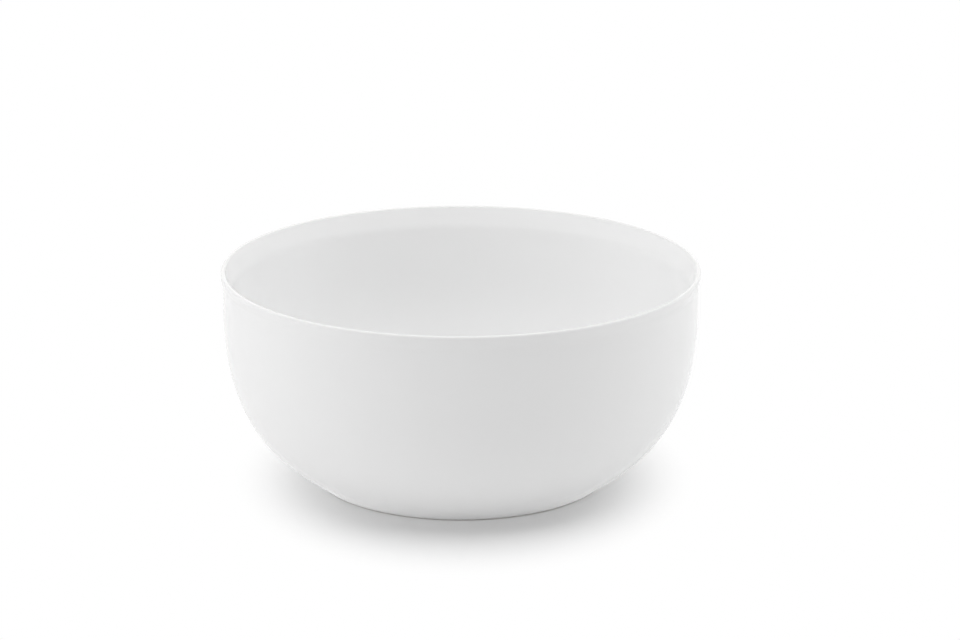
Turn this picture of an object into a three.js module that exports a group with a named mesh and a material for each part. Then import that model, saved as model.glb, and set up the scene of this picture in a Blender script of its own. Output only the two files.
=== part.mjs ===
// A round porcelain serving bowl, in millimetres with +Z up.
// The origin is the centre of the foot, on the surface that the bowl stands on.
// Every piece is a turned form: its half section, drawn in radius and height, is spun about the Z axis.

import * as THREE from "three";

// The finished bowl, measured over its glaze
const RIM_DIAMETER = 240; // widest ring of the lip
const HEIGHT = 109; // standing surface to the crest of the lip
const WALL_THICKNESS = 3.9;
const FLOOR_THICKNESS = 5;
const FLOOR_TURN_HEIGHT = 17.5; // above the floor, where the inside wall starts to bend into it
const GLAZE_THICKNESS = 0.3;
const GLAZE_EDGE_RUN = 0.8; // length over which the glaze thins out towards its bare edge
const BOND_GAP = 0.02; // hair's breadth between clay and glaze, which keeps the two solids apart

// The lip, which flares out a little from the upright wall
const LIP_THICKNESS = 2.4;
const LIP_FLARE = 1.1; // how far the lip stands out from the wall
const LIP_FLARE_HEIGHT = 8.5; // crest down to where the outside is upright
const LIP_BEVEL_DEPTH = 10.5; // crest down to the corner where the inside turns upright
const LIP_BEVEL_BLEND = 2; // how far that corner is softened, each way
const UPRIGHT_HEIGHT = 11.5; // upright band of wall under the flare

// The belly, which leaves the foot on a slant and bends up into the upright wall
const BELLY_SLANT = THREE.MathUtils.degToRad(40); // above level, where it leaves the foot
const BELLY_FOOT_PULL = 19; // how strongly the curve holds that slant
const BELLY_WALL_PULL = 65; // how strongly the curve holds the upright

// The foot, a ring with a shallow recess inside it
const FOOT_DIAMETER = 140; // outer edge of the standing face
const FOOT_FACE_WIDTH = 3.5; // flat standing face
const FOOT_EDGE_RADIUS = 2; // rounding on both sides of the standing face
const RECESS_DEPTH = 5;
const RECESS_FILLET = 2;

// Facets
const SEGMENTS = 60; // around the bowl
const BELLY_STEPS = 8;
const INSIDE_STEPS = 4; // inside of the belly, down to where it bends into the floor
const LIP_STEPS = 5;
const FLOOR_STEPS = 5; // where the inside wall bends into the floor
const BLEND_STEPS = 3; // in each flare, fillet and small corner
const SAME_SPOT = 1e-6; // points closer together than this are one point

// Quarter turns, as angles from level
const LEVEL = 0;
const UP = Math.PI / 2;
const BACK = Math.PI;
const DOWN = -Math.PI / 2;

// The clay body is smaller than the finished bowl by the glaze on each glazed side
const clayOutside = RIM_DIAMETER / 2 - LIP_FLARE - GLAZE_THICKNESS;
const clayFloor = RECESS_DEPTH + FLOOR_THICKNESS - GLAZE_THICKNESS;
const clayCeiling = RECESS_DEPTH + GLAZE_THICKNESS;
const clayDepth = (thickness) => thickness - 2 * GLAZE_THICKNESS;

const point = (radius, height) => new THREE.Vector2(radius, height);

// The point that lies a distance from a start, at an angle from level
function step(start, angle, distance) {
  const move = point(Math.cos(angle), Math.sin(angle)).multiplyScalar(distance);
  return move.add(start);
}

// A round edge about a centre, between two angles
function roundEdge(centre, radius, from, to, steps) {
  const clockwise = to < from;
  return new THREE.EllipseCurve(centre.x, centre.y, radius, radius, from, to, clockwise).getPoints(steps);
}

// A corner softened into a curve between two points
function softCorner(from, corner, to, steps) {
  return new THREE.QuadraticBezierCurve(from, corner, to).getPoints(steps);
}

// Stretches of outline joined end to end, without repeated points
function joined(...stretches) {
  const all = stretches.flat();
  return all.filter((spot, i) => i === 0 || spot.distanceTo(all[i - 1]) > SAME_SPOT);
}

// The line that follows a stretch of clay at a height above it, on its right-hand side
function raised(clay, height) {
  const sides = clay.slice(1).map((spot, i) => {
    const run = spot.clone().sub(clay[i]).normalize();
    return point(run.y, -run.x);
  });
  return clay.map((spot, i) => {
    const before = sides[Math.max(i - 1, 0)];
    const after = sides[Math.min(i, sides.length - 1)];
    const mitre = height / (1 + before.dot(after));
    return before.clone().add(after).multiplyScalar(mitre).add(spot);
  });
}

// Foot: the recess with its glaze line on the ring's inner wall, then the bare standing face
const footOutside = FOOT_DIAMETER / 2;
const footInside = footOutside - FOOT_FACE_WIDTH;
const ringInside = footInside - FOOT_EDGE_RADIUS;
const recessGlazeLine = point(ringInside, FOOT_EDGE_RADIUS);
const recessGlazeFull = step(recessGlazeLine, UP, GLAZE_EDGE_RUN);
const recessFillet = Math.min(RECESS_FILLET, clayCeiling - recessGlazeFull.y);
const filletCentre = point(ringInside - recessFillet, clayCeiling - recessFillet);
const recess = joined(
  [point(0, clayCeiling)],
  roundEdge(filletCentre, recessFillet, UP, LEVEL, BLEND_STEPS),
  [recessGlazeFull, recessGlazeLine],
);
const innerEdge = point(footInside, FOOT_EDGE_RADIUS);
const outerEdge = point(footOutside, FOOT_EDGE_RADIUS);
const standingFace = joined(
  roundEdge(innerEdge, FOOT_EDGE_RADIUS, -BACK, DOWN, BLEND_STEPS),
  roundEdge(outerEdge, FOOT_EDGE_RADIUS, DOWN, DOWN + BELLY_SLANT, BLEND_STEPS),
);

// Belly: one curve outside, which the inside follows at the thickness of the wall
const glazeLine = standingFace.at(-1);
const glazeFull = step(glazeLine, BELLY_SLANT, GLAZE_EDGE_RUN);
const flareFoot = point(clayOutside, HEIGHT - LIP_FLARE_HEIGHT);
const bellyTop = step(flareFoot, DOWN, UPRIGHT_HEIGHT);
const belly = new THREE.CubicBezierCurve(
  glazeLine,
  step(glazeLine, BELLY_SLANT, BELLY_FOOT_PULL),
  step(bellyTop, DOWN, BELLY_WALL_PULL),
  bellyTop,
);
const outsideBelly = belly.getPoints(BELLY_STEPS).slice(1);

// Inside of the belly at a share of the way up its curve, with the slant of the wall there
function insideAt(share) {
  const slant = belly.getTangent(share).angle();
  const thickness = THREE.MathUtils.lerp(FLOOR_THICKNESS, WALL_THICKNESS, share);
  return { spot: step(belly.getPoint(share), slant + UP, clayDepth(thickness)), slant };
}

// The share at which the inside stands at a height, found by halving the curve
function shareAt(height) {
  let low = 0;
  let high = 1;
  while (high - low > SAME_SPOT) {
    const middle = (low + high) / 2;
    if (insideAt(middle).spot.y < height) {
      low = middle;
    } else {
      high = middle;
    }
  }
  return high;
}

// Inside of the belly, from the upright wall down to where it starts to bend into the floor
const turnShare = shareAt(clayFloor + FLOOR_TURN_HEIGHT);
const insideBelly = Array.from({ length: INSIDE_STEPS + 1 }, (_, i) => {
  return insideAt(THREE.MathUtils.lerp(1, turnShare, i / INSIDE_STEPS));
});

// Floor: the last of that wall runs down its slant into a soft corner and then level to the middle
const turn = insideBelly.at(-1);
const turnRun = (turn.spot.y - clayFloor) / Math.sin(turn.slant);
const floorCorner = step(turn.spot, turn.slant + BACK, turnRun);
const floorTurn = softCorner(turn.spot, floorCorner, step(floorCorner, BACK, turnRun), FLOOR_STEPS);

// Lip: an outer flare, a round crest, and an inner bevel that meets the upright wall in a soft corner
const lipRounding = LIP_THICKNESS / 2;
const clayRounding = lipRounding - GLAZE_THICKNESS;
const lipCentre = point(RIM_DIAMETER / 2 - lipRounding, HEIGHT - lipRounding);
const lipOutside = step(lipCentre, LEVEL, clayRounding);
const flareBend = (lipOutside.y - flareFoot.y) / 2;
const flare = new THREE.CubicBezierCurve(
  flareFoot,
  step(flareFoot, UP, flareBend),
  step(lipOutside, DOWN, flareBend),
  lipOutside,
);
const bevelCorner = point(clayOutside - clayDepth(WALL_THICKNESS), HEIGHT - LIP_BEVEL_DEPTH);
const toLip = lipCentre.clone().sub(bevelCorner);
const bevelSlant = toLip.angle() + Math.asin(clayRounding / toLip.length());
const crest = roundEdge(lipCentre, clayRounding, LEVEL, bevelSlant + UP, LIP_STEPS);
const bevelEnd = softCorner(
  step(bevelCorner, bevelSlant, LIP_BEVEL_BLEND),
  bevelCorner,
  step(bevelCorner, DOWN, LIP_BEVEL_BLEND),
  BLEND_STEPS,
);

// Half sections, each drawn with its solid on the left
const glazedClay = joined(
  [glazeLine, glazeFull],
  outsideBelly,
  flare.getPoints(BLEND_STEPS),
  crest,
  bevelEnd,
  insideBelly.map(({ spot }) => spot),
  floorTurn,
  [point(0, clayFloor)],
);
const bodySection = joined(recess, standingFace, glazedClay);
const coatSection = joined(
  raised(glazedClay, BOND_GAP).toReversed(),
  raised(glazedClay, GLAZE_THICKNESS).slice(1),
);
const undersideSection = joined(
  raised(recess, GLAZE_THICKNESS).slice(0, -1),
  raised(recess, BOND_GAP).toReversed(),
);

const bareClay = new THREE.MeshStandardMaterial({ color: 0xe6e3dc, roughness: 0.75, metalness: 0 });
const clearGlaze = new THREE.MeshStandardMaterial({ color: 0xececeb, roughness: 0.12, metalness: 0 });

// A section spun about the upright axis
function turned(name, section, material) {
  const geometry = new THREE.LatheGeometry(section, SEGMENTS).rotateX(Math.PI / 2);
  const mesh = new THREE.Mesh(geometry, material);
  mesh.name = name;
  return mesh;
}

const bowl = new THREE.Group();
bowl.add(turned("porcelain_body", bodySection, bareClay));
bowl.add(turned("glaze_coat", coatSection, clearGlaze));
bowl.add(turned("underside_glaze", undersideSection, clearGlaze));

export default bowl;
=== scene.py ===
# %% [markdown]
# # A white porcelain bowl
#
# This lesson models a round serving bowl over its CAD frame, and gives it its finishes, a floor and light.
# The real bowl is one body of fired clay under a coat of clear glass, the glaze, which is fused to it.
# Only the ring that the bowl stands on is left bare, because glaze would stick to the shelf of the kiln.
# So there are three pieces: the clay body, the coat of glaze, and the disc of glaze under the foot.
# Everything is in metres with +Z up, and the origin is under the middle of the foot.

import math

import bpy
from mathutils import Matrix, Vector


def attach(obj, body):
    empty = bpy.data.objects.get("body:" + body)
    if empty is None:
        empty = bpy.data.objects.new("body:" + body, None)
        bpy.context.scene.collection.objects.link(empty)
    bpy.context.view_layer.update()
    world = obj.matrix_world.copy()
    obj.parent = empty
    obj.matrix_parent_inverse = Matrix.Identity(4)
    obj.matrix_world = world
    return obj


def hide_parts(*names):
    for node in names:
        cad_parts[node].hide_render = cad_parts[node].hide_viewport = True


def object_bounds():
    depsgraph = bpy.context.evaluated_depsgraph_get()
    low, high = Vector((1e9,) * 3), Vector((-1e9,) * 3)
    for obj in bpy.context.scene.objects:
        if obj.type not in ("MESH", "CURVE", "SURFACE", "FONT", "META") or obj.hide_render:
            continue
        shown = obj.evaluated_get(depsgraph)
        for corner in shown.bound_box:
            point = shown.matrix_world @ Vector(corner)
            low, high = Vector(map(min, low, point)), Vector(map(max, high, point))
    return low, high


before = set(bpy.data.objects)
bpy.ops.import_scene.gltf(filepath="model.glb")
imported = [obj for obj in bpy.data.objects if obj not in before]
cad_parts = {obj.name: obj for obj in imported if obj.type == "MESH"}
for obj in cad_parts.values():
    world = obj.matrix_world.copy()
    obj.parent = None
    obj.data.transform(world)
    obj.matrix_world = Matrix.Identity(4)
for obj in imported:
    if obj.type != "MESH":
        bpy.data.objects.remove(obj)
cad_low, cad_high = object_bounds()
bowl_radius = cad_high.x
bowl_height = cad_high.z
print("Radius of the bowl:", round(bowl_radius, 5), "and its height:", round(bowl_height, 5))

# %% [markdown]
# ## The camera
#
# The rim's front and back curve almost alike in the photograph, so it was taken from far away with a long lens.
# The flatness of the rim's ellipse gives the angle that the camera looks down at.
# A camera could be turned with a constraint that tracks a target. Here its place and its turn both follow from
# one angle and one distance, which is simpler and leaves nothing to evaluate later.

# %% The camera
LOOK_DOWN = math.radians(16.55)
CAMERA_DISTANCE = 2.4
LENS_LENGTH = 179.46  # millimetres, as Blender's lens setting is
PICTURE_MIDDLE = Vector((0.00957, 0, 0.08181))  # the spot in space at the middle of the picture

towards_camera = Vector((0, -math.cos(LOOK_DOWN), math.sin(LOOK_DOWN)))
bpy.ops.object.select_all(action="DESELECT")
bpy.ops.object.camera_add(
    location=PICTURE_MIDDLE + towards_camera * CAMERA_DISTANCE,
    rotation=(math.pi / 2 - LOOK_DOWN, 0, 0),
)
camera = bpy.context.object
camera.data.lens = LENS_LENGTH
bpy.context.scene.camera = camera
bpy.context.scene.view_settings.view_transform = "Standard"
print("Camera at", [round(value, 3) for value in camera.location])

# %% [markdown]
# ## Drawing a half section
#
# A bowl like this is formed on a wheel, so a half section says all about its shape.
# It is drawn as a row of points in radius and height, and spun about the upright axis afterwards.
# Four small helpers draw it: a spot, a step in a direction, a round edge, and a curve that is pulled by handles.
# The curve is the same as Blender's own Bezier curve. It is found by halving lines between the handles,
# which gives the direction of the curve at each point as well.

# %% Helpers for the section
LEVEL, UP, BACK, DOWN = 0, math.pi / 2, math.pi, -math.pi / 2


def spot(radius, height):
    return Vector((radius, height))


def step(start, angle, distance):
    return start + spot(math.cos(angle), math.sin(angle)) * distance


def shares(steps):
    return [index / steps for index in range(steps + 1)]


def round_edge(centre, radius, first, last, steps):
    return [step(centre, first + (last - first) * share, radius) for share in shares(steps)]


def on_curve(handles, share):
    """Return the spot at a share of the way along a curve with four handles, and the curve's slant there."""
    a, b, c, d = handles
    ab, bc, cd = a.lerp(b, share), b.lerp(c, share), c.lerp(d, share)
    behind, ahead = ab.lerp(bc, share), bc.lerp(cd, share)
    run = ahead - behind
    return behind.lerp(ahead, share), math.atan2(run.y, run.x)


def along_curve(handles, steps):
    return [on_curve(handles, share)[0] for share in shares(steps)]


def soft_corner(start, corner, end, steps):
    """Round off a corner: both middle handles lie two thirds of the way to it."""
    return along_curve((start, start.lerp(corner, 2 / 3), end.lerp(corner, 2 / 3), end), steps)


# %% [markdown]
# ## The foot
#
# The bowl stands on a ring with a shallow recess inside it, so that it doesn't rock and its glazed underside
# stays off the table. The ring's two edges are rounded, because a sharp edge of porcelain chips.
# The section starts at the axis, under the floor, and runs outwards to the ring and around it.

# %% The recess and the standing face
GLAZE = 0.0003
GLAZE_EDGE_RUN = 0.0008  # over this length the glaze thins out to nothing
FOOT_RADIUS = 0.070
FOOT_FACE_WIDTH = 0.0035
FOOT_EDGE = 0.002
RECESS_DEPTH = 0.005
RECESS_FILLET = 0.002
BELLY_SLANT = math.radians(40)  # the wall leaves the foot at this angle
EDGE_STEPS = 6

clay_ceiling = RECESS_DEPTH + GLAZE
foot_inside = FOOT_RADIUS - FOOT_FACE_WIDTH
ring_inside = foot_inside - FOOT_EDGE
recess_glaze_line = spot(ring_inside, FOOT_EDGE)
recess_glaze_full = step(recess_glaze_line, UP, GLAZE_EDGE_RUN)
fillet = min(RECESS_FILLET, clay_ceiling - recess_glaze_full.y)
fillet_centre = spot(ring_inside - fillet, clay_ceiling - fillet)
recess = [spot(0, clay_ceiling)]
recess += round_edge(fillet_centre, fillet, UP, LEVEL, EDGE_STEPS)
recess += [recess_glaze_full, recess_glaze_line]
standing_face = round_edge(spot(foot_inside, FOOT_EDGE), FOOT_EDGE, -BACK, DOWN, EDGE_STEPS)
standing_face += round_edge(spot(FOOT_RADIUS, FOOT_EDGE), FOOT_EDGE, DOWN, DOWN + BELLY_SLANT, EDGE_STEPS)
print("Points in the recess:", len(recess), "and in the standing face:", len(standing_face))

# %% [markdown]
# ## The belly
#
# From the foot the wall rises on a slant and bends up until it is upright under the lip.
# One curve with a handle at each end gives that: the lower handle holds the slant and the upper one the upright.
# The inside follows the outside at the thickness of the wall, which grows a little towards the floor.

# %% The outside of the wall
LIP_FLARE = 0.0011
LIP_FLARE_HEIGHT = 0.0085
UPRIGHT_HEIGHT = 0.0115
BELLY_FOOT_PULL = 0.019
BELLY_WALL_PULL = 0.065
BELLY_STEPS = 40

glaze_line = standing_face[-1]
glaze_full = step(glaze_line, BELLY_SLANT, GLAZE_EDGE_RUN)
clay_outside = bowl_radius - LIP_FLARE - GLAZE
flare_foot = spot(clay_outside, bowl_height - LIP_FLARE_HEIGHT)
belly_top = step(flare_foot, DOWN, UPRIGHT_HEIGHT)
belly = (
    glaze_line,
    step(glaze_line, BELLY_SLANT, BELLY_FOOT_PULL),
    step(belly_top, DOWN, BELLY_WALL_PULL),
    belly_top,
)
outside_belly = along_curve(belly, BELLY_STEPS)[1:]
print("The outside bends upright at a height of", round(belly_top.y, 4))

# %% The inside of the wall and the floor
WALL_THICKNESS = 0.0039
FLOOR_THICKNESS = 0.005
FLOOR_TURN_HEIGHT = 0.0175  # above the floor, where the inside starts to bend into it
INSIDE_STEPS = 24
FLOOR_STEPS = 20
CLOSE_ENOUGH = 1e-7

clay_floor = RECESS_DEPTH + FLOOR_THICKNESS - GLAZE


def clay_depth(thickness):
    return thickness - 2 * GLAZE


def inside_at(share):
    place, slant = on_curve(belly, share)
    thickness = FLOOR_THICKNESS + (WALL_THICKNESS - FLOOR_THICKNESS) * share
    return step(place, slant + UP, clay_depth(thickness)), slant


def share_at(height):
    """Return the share of the curve at which the inside stands at a height, found by halving the curve."""
    low, high = 0.0, 1.0
    while high - low > CLOSE_ENOUGH:
        middle = (low + high) / 2
        if inside_at(middle)[0].y < height:
            low = middle
        else:
            high = middle
    return high


turn_share = share_at(clay_floor + FLOOR_TURN_HEIGHT)
inside_belly = [inside_at(1 + (turn_share - 1) * share)[0] for share in shares(INSIDE_STEPS)]
turn_start, turn_slant = inside_at(turn_share)
turn_run = (turn_start.y - clay_floor) / math.sin(turn_slant)
floor_corner = step(turn_start, turn_slant + BACK, turn_run)
floor_turn = soft_corner(turn_start, floor_corner, step(floor_corner, BACK, turn_run), FLOOR_STEPS)
print("The level floor is", round(2 * floor_turn[-1].x, 4), "across")

# %% [markdown]
# ## The lip
#
# The lip flares out by about a millimetre, is round on top and thinner than the wall, and slopes off inside
# in a narrow bevel. That bevel shows in the photograph as a pale band along the back of the rim.
# The crest is a round edge that runs from the flare to the slope of the bevel, so both meet it without a corner.

# %% The flare, the crest and the bevel
LIP_THICKNESS = 0.0024
LIP_BEVEL_DEPTH = 0.0105
LIP_BEVEL_BLEND = 0.002
FLARE_STEPS = 12
CREST_STEPS = 16
BEVEL_STEPS = 8

lip_rounding = LIP_THICKNESS / 2
clay_rounding = lip_rounding - GLAZE
lip_centre = spot(bowl_radius - lip_rounding, bowl_height - lip_rounding)
lip_outside = step(lip_centre, LEVEL, clay_rounding)
flare_bend = (lip_outside.y - flare_foot.y) / 2
flare = (flare_foot, step(flare_foot, UP, flare_bend), step(lip_outside, DOWN, flare_bend), lip_outside)
bevel_corner = spot(clay_outside - clay_depth(WALL_THICKNESS), bowl_height - LIP_BEVEL_DEPTH)
to_lip = lip_centre - bevel_corner
bevel_slant = math.atan2(to_lip.y, to_lip.x) + math.asin(clay_rounding / to_lip.length)
crest = round_edge(lip_centre, clay_rounding, LEVEL, bevel_slant + UP, CREST_STEPS)
bevel_end = soft_corner(
    step(bevel_corner, bevel_slant, LIP_BEVEL_BLEND),
    bevel_corner,
    step(bevel_corner, DOWN, LIP_BEVEL_BLEND),
    BEVEL_STEPS,
)
print("The bevel slopes at", round(math.degrees(bevel_slant), 1), "degrees")

# %% [markdown]
# ## From clay to glaze
#
# The lines so far are those of the clay. The glaze lies on it in an even layer, thin beside everything else.
# A Solidify modifier could thicken the spun clay, but the coat has to run out to nothing at its bare edge.
# So the line of the clay is raised instead: each point moves out square to the line, by the mitre of its corner.
# A hair's breadth stays open between clay and glaze, so that the two surfaces never lie in one place.

# %% Three closed sections
BOND_GAP = 0.00002
SAME_SPOT = 1e-7


def joined(*stretches):
    """Put stretches of a line end to end and leave out repeated spots."""
    line = []
    for place in (place for stretch in stretches for place in stretch):
        if not line or (place - line[-1]).length > SAME_SPOT:
            line.append(place)
    return line


def raised(line, height):
    """Return the line that runs at a height over another, on its right-hand side."""
    sides = []
    for here, there in zip(line, line[1:]):
        run = (there - here).normalized()
        sides.append(spot(run.y, -run.x))
    lifted = []
    for place, before, after in zip(line, sides[:1] + sides, sides + sides[-1:]):
        mitre = height / (1 + before.dot(after))
        lifted.append(place + (before + after) * mitre)
    return lifted


glazed_clay = joined(
    [glaze_line, glaze_full],
    [place for place in outside_belly if place.x > glaze_full.x],
    along_curve(flare, FLARE_STEPS),
    crest,
    bevel_end,
    inside_belly,
    floor_turn,
    [spot(0, clay_floor)],
)
body_section = joined(recess, standing_face, glazed_clay)
coat_section = joined(reversed(raised(glazed_clay, BOND_GAP)), raised(glazed_clay, GLAZE)[1:])
underside_section = joined(raised(recess, GLAZE)[:-1], reversed(raised(recess, BOND_GAP)))
for title, section in (("clay", body_section), ("coat", coat_section), ("underside", underside_section)):
    print("Points in the section of the", title + ":", len(section))

# %% [markdown]
# ## Turning the pieces
#
# Blender's Spin does what the wheel does: it sweeps a line about an axis and makes faces on the way.
# The line starts as a small plane that is merged into one point, and that point is extruded along the section.
# After a full turn the first and the last copy of the line lie in one place, and so do all copies of the points
# on the axis, so doubles are merged and the normals are made to point outwards.

# %% Helper that turns a section
TURN_STEPS = 192
WELD = 1e-6
SOFT_ANGLE = math.radians(35)  # corners sharper than this stay crisp


def upright(place):
    return (place.x, 0, place.y)


def turned(name, section):
    bpy.ops.object.select_all(action="DESELECT")
    bpy.ops.mesh.primitive_plane_add(size=GLAZE)
    piece = bpy.context.object
    piece.name = piece.data.name = name
    bpy.ops.object.mode_set(mode="EDIT")
    bpy.ops.mesh.merge(type="CENTER")
    bpy.ops.transform.translate(value=upright(section[0]))
    for here, there in zip(section, section[1:]):
        bpy.ops.mesh.extrude_vertices_move(TRANSFORM_OT_translate={"value": upright(there - here)})
    bpy.ops.mesh.select_all(action="SELECT")
    bpy.ops.mesh.spin(steps=TURN_STEPS, angle=math.tau, center=(0, 0, 0), axis=(0, 0, 1))
    bpy.ops.mesh.select_all(action="SELECT")
    bpy.ops.mesh.remove_doubles(threshold=WELD)
    bpy.ops.mesh.normals_make_consistent(inside=False)
    bpy.ops.object.mode_set(mode="OBJECT")
    bpy.ops.object.shade_smooth_by_angle(angle=SOFT_ANGLE)
    print(name, "has", len(piece.data.vertices), "points and", len(piece.data.polygons), "faces")
    return piece


# %% The clay body, the coat of glaze and the disc of glaze under the foot
clay_body = turned("clay_body", body_section)
glaze_coat = turned("coat_of_glaze", coat_section)
underside_glaze = turned("glaze_under_foot", underside_section)

# %% [markdown]
# ## The finish of the glaze
#
# Clear glaze on white porcelain is a smooth, glossy and nearly neutral white, and never quite even. It pools on the
# floor of the bowl, where it is cooler. Over the crest of the lip it is so thin that the warmer clay shows a little.
# High on the inside the glaze is whiter here, which is painted light, because an even glaze comes out darker there
# than in the photograph. The photograph doesn't show the reason, so that is a fitted tone.
# Its surface has long, very shallow ripples and a fine orange peel, which only show in what it mirrors.
# An image could hold all that, but noise read from the object's own coordinates fits any view and any size.

# %% Helpers for nodes
def new_finish(name):
    material = bpy.data.materials.new(name)
    material.use_nodes = True
    return material, material.node_tree


def add_node(tree, kind, **settings):
    node = tree.nodes.new(kind)
    for setting, value in settings.items():
        setattr(node, setting, value)
    return node


def link(source, target):
    target.id_data.links.new(source, target)


def add_place(tree):
    """Return the object's own coordinates, and the height among them."""
    coordinates = add_node(tree, "ShaderNodeTexCoord").outputs["Object"]
    split = add_node(tree, "ShaderNodeSeparateXYZ")
    link(coordinates, split.inputs["Vector"])
    return coordinates, split.outputs["Z"]


# %% Helpers for patterns
NOISE_SPREAD = (0.3, 0.7)  # nearly all values of a noise lie between these


def add_noise(tree, coordinates, scale, detail):
    noise = add_node(tree, "ShaderNodeTexNoise")
    noise.inputs["Scale"].default_value = scale
    noise.inputs["Detail"].default_value = detail
    link(coordinates, noise.inputs["Vector"])
    return noise.outputs["Fac"]


def add_range(tree, source, from_low, from_high, to_low=0.0, to_high=1.0):
    node = add_node(tree, "ShaderNodeMapRange", interpolation_type="SMOOTHSTEP")
    node.inputs["From Min"].default_value = from_low
    node.inputs["From Max"].default_value = from_high
    node.inputs["To Min"].default_value = to_low
    node.inputs["To Max"].default_value = to_high
    link(source, node.inputs["Value"])
    return node.outputs["Result"]


def add_math(tree, operation, *sources):
    """Add up, multiply or compare the values of two or more nodes, one after the other."""
    result = sources[0]
    for source in sources[1:]:
        node = add_node(tree, "ShaderNodeMath", operation=operation)
        link(result, node.inputs[0])
        link(source, node.inputs[1])
        result = node.outputs["Value"]
    return result


# %% Helpers for colours, surfaces and distances
def add_mix(tree, share, first, second):
    """Mix two colours, of which the first may come from another node."""
    node = add_node(tree, "ShaderNodeMix", data_type="RGBA")
    # The node has sockets for other kinds of values too, so those for colours come late
    factor, first_colour, second_colour = (node.inputs[place] for place in (0, 6, 7))
    link(share, factor)
    if isinstance(first, tuple):
        first_colour.default_value = (*first, 1)
    else:
        link(first, first_colour)
    second_colour.default_value = (*second, 1)
    return node.outputs[2]


def add_bump(tree, height, depth, below=None):
    node = add_node(tree, "ShaderNodeBump")
    node.inputs["Distance"].default_value = depth
    link(height, node.inputs["Height"])
    if below:
        link(below, node.inputs["Normal"])
    return node.outputs["Normal"]


def add_radius(tree, coordinates, sideways=1, middle=0):
    """Return the distance from the bowl's axis, or from an upright line to the right of it.

    Steps to the left and right may count for more than those to the front and back.
    """
    flat = add_node(tree, "ShaderNodeVectorMath", operation="MULTIPLY_ADD")
    flat.inputs[1].default_value = (sideways, 1, 0)
    flat.inputs[2].default_value = (-sideways * middle, 0, 0)
    link(coordinates, flat.inputs[0])
    length = add_node(tree, "ShaderNodeVectorMath", operation="LENGTH")
    link(flat.outputs["Vector"], length.inputs[0])
    return length.outputs["Value"]


# %% White glaze
GLAZE_PALE = (0.892, 0.892, 0.892)
GLAZE_DEEP = (0.880, 0.881, 0.881)
# Painted light: the glaze is painted whiter high on the inside
GLAZE_PAINTED_LIGHT = (0.925, 0.925, 0.924)
GLAZE_THIN = (0.866, 0.863, 0.857)
GLAZE_POOLED = (0.877, 0.880, 0.881)
GLAZE_REFRACTION = 1.5
DRIFT_SCALE = 14
RIPPLE_SCALE = 38
PEEL_SCALE = 420
RIPPLE_DEPTH = 0.000012
PEEL_DEPTH = 0.0000006
GLOSS_SCALE = 55
GLOSS_ROUGHNESS = (0.11, 0.17)
PAINTED_LIGHT_HEIGHTS = (0.066, 0.102)  # heights between which the inside gets whiter
THIN_BELOW_CREST = 0.0012
POOL_RADII = (0.085, 0.055)

glossy_glaze, tree = new_finish("glossy_glaze")
shader = tree.nodes["Principled BSDF"]
shader.inputs["IOR"].default_value = GLAZE_REFRACTION
place, height = add_place(tree)
drift = add_noise(tree, place, DRIFT_SCALE, detail=2)
white = add_mix(tree, drift, GLAZE_PALE, GLAZE_DEEP)
radius = add_radius(tree, place)
white = add_mix(tree, add_range(tree, radius, *POOL_RADII), white, GLAZE_POOLED)
inside = add_range(tree, radius, lip_centre.x, lip_centre.x - lip_rounding)
# Painted light high on the inside, where the glaze is painted whiter
high = add_range(tree, height, *PAINTED_LIGHT_HEIGHTS)
white = add_mix(tree, add_math(tree, "MULTIPLY", inside, high), white, GLAZE_PAINTED_LIGHT)
thin = add_range(tree, height, bowl_height - THIN_BELOW_CREST, bowl_height)
white = add_mix(tree, thin, white, GLAZE_THIN)
link(white, shader.inputs["Base Color"])
gloss = add_noise(tree, place, GLOSS_SCALE, detail=2)
link(add_range(tree, gloss, *NOISE_SPREAD, *GLOSS_ROUGHNESS), shader.inputs["Roughness"])
ripple = add_bump(tree, add_noise(tree, place, RIPPLE_SCALE, detail=1), RIPPLE_DEPTH)
peel = add_bump(tree, add_noise(tree, place, PEEL_SCALE, detail=0), PEEL_DEPTH, ripple)
link(peel, shader.inputs["Normal"])
print("White glaze has", len(tree.nodes), "nodes")

# %% [markdown]
# ## The bare ring
#
# Fired porcelain without glaze is matt, a little warmer and darker than the glaze, with a fine grain.
# The middle of the standing face is rubbed smoother and greyer by tables and by other bowls in a stack.

# %% Bare porcelain
CLAY_PALE = (0.81, 0.79, 0.75)
CLAY_DARK = (0.77, 0.75, 0.71)
CLAY_RUBBED = (0.70, 0.685, 0.655)
GRAIN_SCALE = 1600
GRAIN_DEPTH = 0.000015
RUB_SCALE = 300
RUB_HEIGHT = 0.0005  # above the table, where the rubbing ends
RUB_EDGES = (0.35, 0.65)  # values of the noise between which a patch fades in
MATT_ROUGHNESS = (0.62, 0.82)
RUB_ROUGHNESS = 0.6  # share of the roughness that a rubbed patch keeps

matt_porcelain, tree = new_finish("matt_porcelain")
shader = tree.nodes["Principled BSDF"]
place, height = add_place(tree)
grain = add_noise(tree, place, GRAIN_SCALE, detail=3)
clay = add_mix(tree, grain, CLAY_PALE, CLAY_DARK)
touching = add_range(tree, height, RUB_HEIGHT, 0)
patches = add_range(tree, add_noise(tree, place, RUB_SCALE, detail=3), *RUB_EDGES)
rubbed = add_math(tree, "MULTIPLY", touching, patches)
clay = add_mix(tree, rubbed, clay, CLAY_RUBBED)
link(clay, shader.inputs["Base Color"])
matt = add_range(tree, grain, *NOISE_SPREAD, *MATT_ROUGHNESS)
kept_share = add_range(tree, rubbed, 0, 1, 1, RUB_ROUGHNESS)
link(add_math(tree, "MULTIPLY", matt, kept_share), shader.inputs["Roughness"])
link(add_bump(tree, grain, GRAIN_DEPTH), shader.inputs["Normal"])
print("Bare porcelain has", len(tree.nodes), "nodes")

# %% [markdown]
# ## Joining the pieces to the frame
#
# Each piece stands for one CAD node, which stays behind it for collision but no longer shows.
# The bowl has no moving part, so all pieces ride on its one body.

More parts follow.
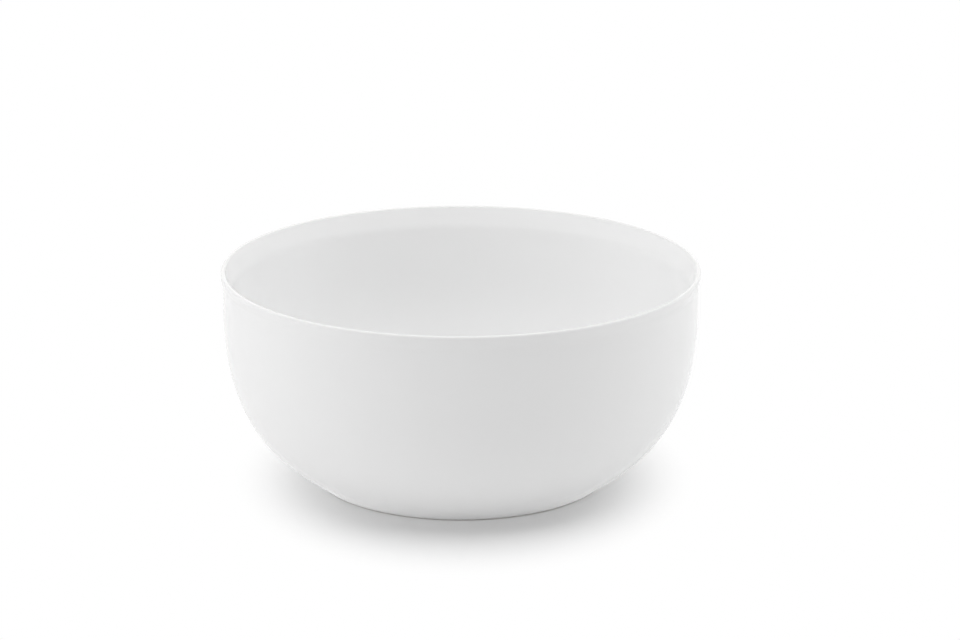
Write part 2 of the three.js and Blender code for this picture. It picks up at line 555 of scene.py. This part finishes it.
# %% Finishes and ties
for piece, node, finish, slot in (
    (clay_body, "porcelain_body", matt_porcelain, "bare_porcelain"),
    (glaze_coat, "glaze_coat", glossy_glaze, "white_glaze"),
    (underside_glaze, "underside_glaze", glossy_glaze, "white_glaze"),
):
    piece.data.materials.append(finish)
    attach(piece, "root")
    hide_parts(node)
    print(piece.name, "stands for", node, "and has the finish", finish.name)

# %% [markdown]
# ## The floor
#
# The bowl stands on a seamless white ground, which is pure white in the photograph except for a soft shadow.
# A very bright lamp would bleach the bowl as well, so the floor is a plain white that is lit like the bowl.
# Where it is looked at, directly or in a reflection, it fades out to pure white at some distance from the bowl,
# and sooner to the left and right than in front. Near the bowl it shows the light on it, and so the shadow.
# The camera sees that on a slightly greyer white, which is painted shade, because the shadow in the photograph is
# fuller than on white paper. In the glaze the floor is painted whiter near the bowl, a painted reflection, and its
# shadow there lies further to the right, on the side away from the lamp at the left front.
# A smooth white table is a little milky, so some light spreads inside it and comes out again at the foot of the
# bowl. A paler ring of painted light stands for that, seen directly and in the glaze as a painted reflection.
# It keeps the lowest part of the wall as light as in the photograph.

# %% Helpers for the floor
# Painted light: a paler ring on the floor at the foot of the bowl
PAINTED_RING_START = (0.0708, 0.0725)  # radii between which the paler ring at the foot begins
PAINTED_RING_END = (0.068, 0.09)  # and between which it fades out


def add_fade(tree, coordinates, middle, sideways, reach, white, ring_painted_light):
    """Share of pure white in the floor, from the shadow and the ring of painted light in it to the white ground
    around them.
    """
    shadow = add_range(tree, add_radius(tree, coordinates, sideways, middle), *reach, white)
    radius = add_radius(tree, coordinates)
    # The ring of painted light at the foot
    ring = add_range(tree, radius, *PAINTED_RING_END, ring_painted_light, 0)
    beside_foot = add_range(tree, radius, *PAINTED_RING_START)
    return add_math(tree, "ADD", shadow, add_math(tree, "MULTIPLY", beside_foot, ring))


def ray_kinds(tree):
    """Return values that are one for rays from the camera, from a mirror-like surface and from inside glass."""
    rays = add_node(tree, "ShaderNodeLightPath").outputs
    return rays["Is Camera Ray"], rays["Is Glossy Ray"], rays["Is Transmission Ray"]


# %% White floor
FLOOR_SIZE = 40
FLOOR_WHITE = (0.95, 0.95, 0.95)
# Painted shade: the floor is greyer where the camera sees it
FLOOR_SEEN_PAINTED_SHADE = (0.76, 0.76, 0.76)
# The middle of the shadow, to the right of the bowl's axis, and how much more steps to the left and right count.
# Then the radii between which it fades out to pure white, and the shares of white painted into it and into the ring
# as painted light
SHADOW_SEEN = {"middle": 0.0016, "sideways": 1.326, "reach": (0.0872, 0.1551), "white": 0.097, "ring_painted_light": 0.183}
# Painted reflection: in the glaze the floor's shadow is paler and lies further to the right
SHADOW_IN_PAINTED_REFLECTION = {"middle": 0.05, "sideways": 1, "reach": (0.10, 0.20), "white": 0.2, "ring_painted_light": 0.5}

bpy.ops.object.select_all(action="DESELECT")
bpy.ops.mesh.primitive_plane_add(size=FLOOR_SIZE)
floor = bpy.context.object
floor.name = "floor"
floor_white, tree = new_finish("floor_white")
tree.nodes.remove(tree.nodes["Principled BSDF"])
lit = add_node(tree, "ShaderNodeBsdfDiffuse")
from_camera, from_mirror, from_glass = ray_kinds(tree)
link(add_mix(tree, from_camera, FLOOR_WHITE, FLOOR_SEEN_PAINTED_SHADE), lit.inputs["Color"])
pure = add_node(tree, "ShaderNodeEmission")
place = add_node(tree, "ShaderNodeTexCoord").outputs["Object"]
reflecting = add_math(tree, "MAXIMUM", from_mirror, from_glass)
seen = add_math(tree, "MULTIPLY", from_camera, add_fade(tree, place, **SHADOW_SEEN))
# Painted reflection: the share of white that the glaze sees in the floor
mirrored = add_math(tree, "MULTIPLY", reflecting, add_fade(tree, place, **SHADOW_IN_PAINTED_REFLECTION))
choice = add_node(tree, "ShaderNodeMixShader")
link(add_math(tree, "MAXIMUM", seen, mirrored), choice.inputs["Fac"])
link(lit.outputs["BSDF"], choice.inputs[1])
link(pure.outputs["Emission"], choice.inputs[2])
link(choice.outputs["Shader"], tree.nodes["Material Output"].inputs["Surface"])
floor.data.materials.append(floor_white)
print("Floor", FLOOR_SIZE, "across")

# %% [markdown]
# ## The light
#
# The photograph has the even light of a tent of white cloth with lamps behind it: no lamp shows in the glaze.
# It is stronger from the left and right than from where the camera stands, so the wall is palest at its sides.
# Six squares of two metres stand around the bowl and lean over it. Their brightness is given as that of a white
# surface, and the power follows from that and the area of the lamp.
# The world is the cloth of the tent: plain white where it is looked at, and so in the glaze, with next to no light
# of its own. The glaze doesn't mirror the lamps, which would show a second time in front of that white.
# White things pass light on to each other many times, above all in the narrow space under the belly. With the
# usual limit on bounces that space goes dark, so the limit is raised.

# %% World
WORLD_LIGHT = 0.01
LIGHT_BOUNCES = 32
PLAIN_WHITE = (1, 1, 1, 1)

world = bpy.data.worlds.new("studio")
bpy.context.scene.world = world
world.use_nodes = True
tree = world.node_tree
lighting = tree.nodes["Background"]
lighting.inputs["Color"].default_value = PLAIN_WHITE
lighting.inputs["Strength"].default_value = WORLD_LIGHT
backdrop = add_node(tree, "ShaderNodeBackground")
backdrop.inputs["Color"].default_value = PLAIN_WHITE
choice = add_node(tree, "ShaderNodeMixShader")
link(add_math(tree, "MAXIMUM", *ray_kinds(tree)), choice.inputs["Fac"])
link(lighting.outputs["Background"], choice.inputs[1])
link(backdrop.outputs["Background"], choice.inputs[2])
link(choice.outputs["Shader"], tree.nodes["World Output"].inputs["Surface"])
bpy.context.scene.cycles.max_bounces = LIGHT_BOUNCES
bpy.context.scene.cycles.diffuse_bounces = LIGHT_BOUNCES
bpy.context.scene.cycles.glossy_bounces = LIGHT_BOUNCES
print("World lights with", WORLD_LIGHT)

# %% Lamps
LAMP_DISTANCE = 1.7
LAMP_SIZE = 2.0
# Degrees around the bowl from the camera's side, degrees above the floor, and brightness
LAMPS = {
    "right": (90, 30, 0.85),
    "right_high": (90, 60, 1.27),
    "back": (180, 30, 0.8),
    "left": (270, 30, 0.42),
    "left_high": (270, 60, 1.08),
    "left_front": (315, 30, 0.84),
}

for name, (around, above, brightness) in LAMPS.items():
    turn, rise = math.radians(around), math.radians(above)
    outwards = Vector((math.sin(turn), -math.cos(turn), math.tan(rise))).normalized()
    bpy.ops.object.light_add(
        type="AREA",
        location=outwards * LAMP_DISTANCE,
        rotation=outwards.to_track_quat("Z", "Y").to_euler(),
    )
    lamp = bpy.context.object
    lamp.name = name + "_lamp"
    lamp.data.size = LAMP_SIZE
    lamp.data.energy = brightness * math.pi * LAMP_SIZE**2
    lamp.visible_camera = False
    lamp.visible_glossy = False
    print(lamp.name, "has", round(lamp.data.energy, 2), "watts")
